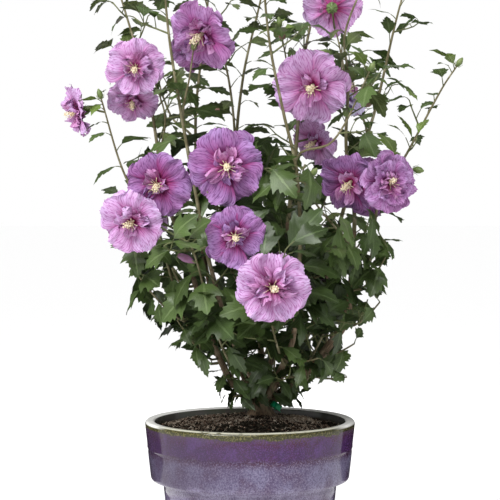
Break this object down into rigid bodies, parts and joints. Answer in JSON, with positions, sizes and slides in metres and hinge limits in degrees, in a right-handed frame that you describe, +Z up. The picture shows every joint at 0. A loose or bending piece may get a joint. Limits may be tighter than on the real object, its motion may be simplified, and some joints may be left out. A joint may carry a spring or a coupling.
{
  "type": "potted hibiscus shrub",
  "caption": "Upright flowering shrub with boughs forking low, lobed leaves and double mauve blooms, standing in a round glazed pot with a broad band under its rim.",
  "frame": {"origin": "centre of the pot's flat underside", "axes": "+Z up along the pot's axis; -Y towards the front, where most of the blooms face; +X to the right seen from the front"},
  "size_m": [0.5318, 0.3933, 0.8953],
  "materials": {
    "pot_glaze": "glossy violet and blue-grey running glaze with an olive rim",
    "soil": "crumbly dark potting soil with bark chips",
    "bark": "dull tan bark with fine ridges",
    "foliage": "satin green leaves with mauve petals"
  },
  "bodies": {
    "root": {"bough_back": "bark", "bough_back_left": "bark", "bough_back_right": "bark", "bough_front_left": "bark", "bough_front_right": "bark", "bough_left": "bark", "bough_middle": "bark", "bough_right": "bark", "bough_right_upper": "bark", "cane_back": "foliage", "cane_back_left": "foliage", "cane_back_right": "foliage", "cane_far_left": "foliage", "cane_far_right": "foliage", "cane_front": "foliage", "cane_front_left": "foliage", "cane_left": "foliage", "cane_middle": "foliage", "cane_right": "foliage", "foliage_foot_1": "foliage", "foliage_foot_2": "foliage", "foliage_foot_3": "foliage", "foliage_foot_4": "foliage", "foliage_foot_5": "foliage", "foliage_high_1": "foliage", "foliage_high_2": "foliage", "foliage_high_3": "foliage", "foliage_high_4": "foliage", "foliage_high_5": "foliage", "foliage_low_1": "foliage", "foliage_low_2": "foliage", "foliage_low_3": "foliage", "foliage_low_4": "foliage", "foliage_low_5": "foliage", "foliage_low_6": "foliage", "foliage_low_7": "foliage", "foliage_middle_1": "foliage", "foliage_middle_2": "foliage", "foliage_middle_3": "foliage", "foliage_middle_4": "foliage", "foliage_middle_5": "foliage", "foliage_middle_6": "foliage", "pot": "pot_glaze", "potting_soil": "soil", "trunk": "bark"}
  },
  "joints": []
}
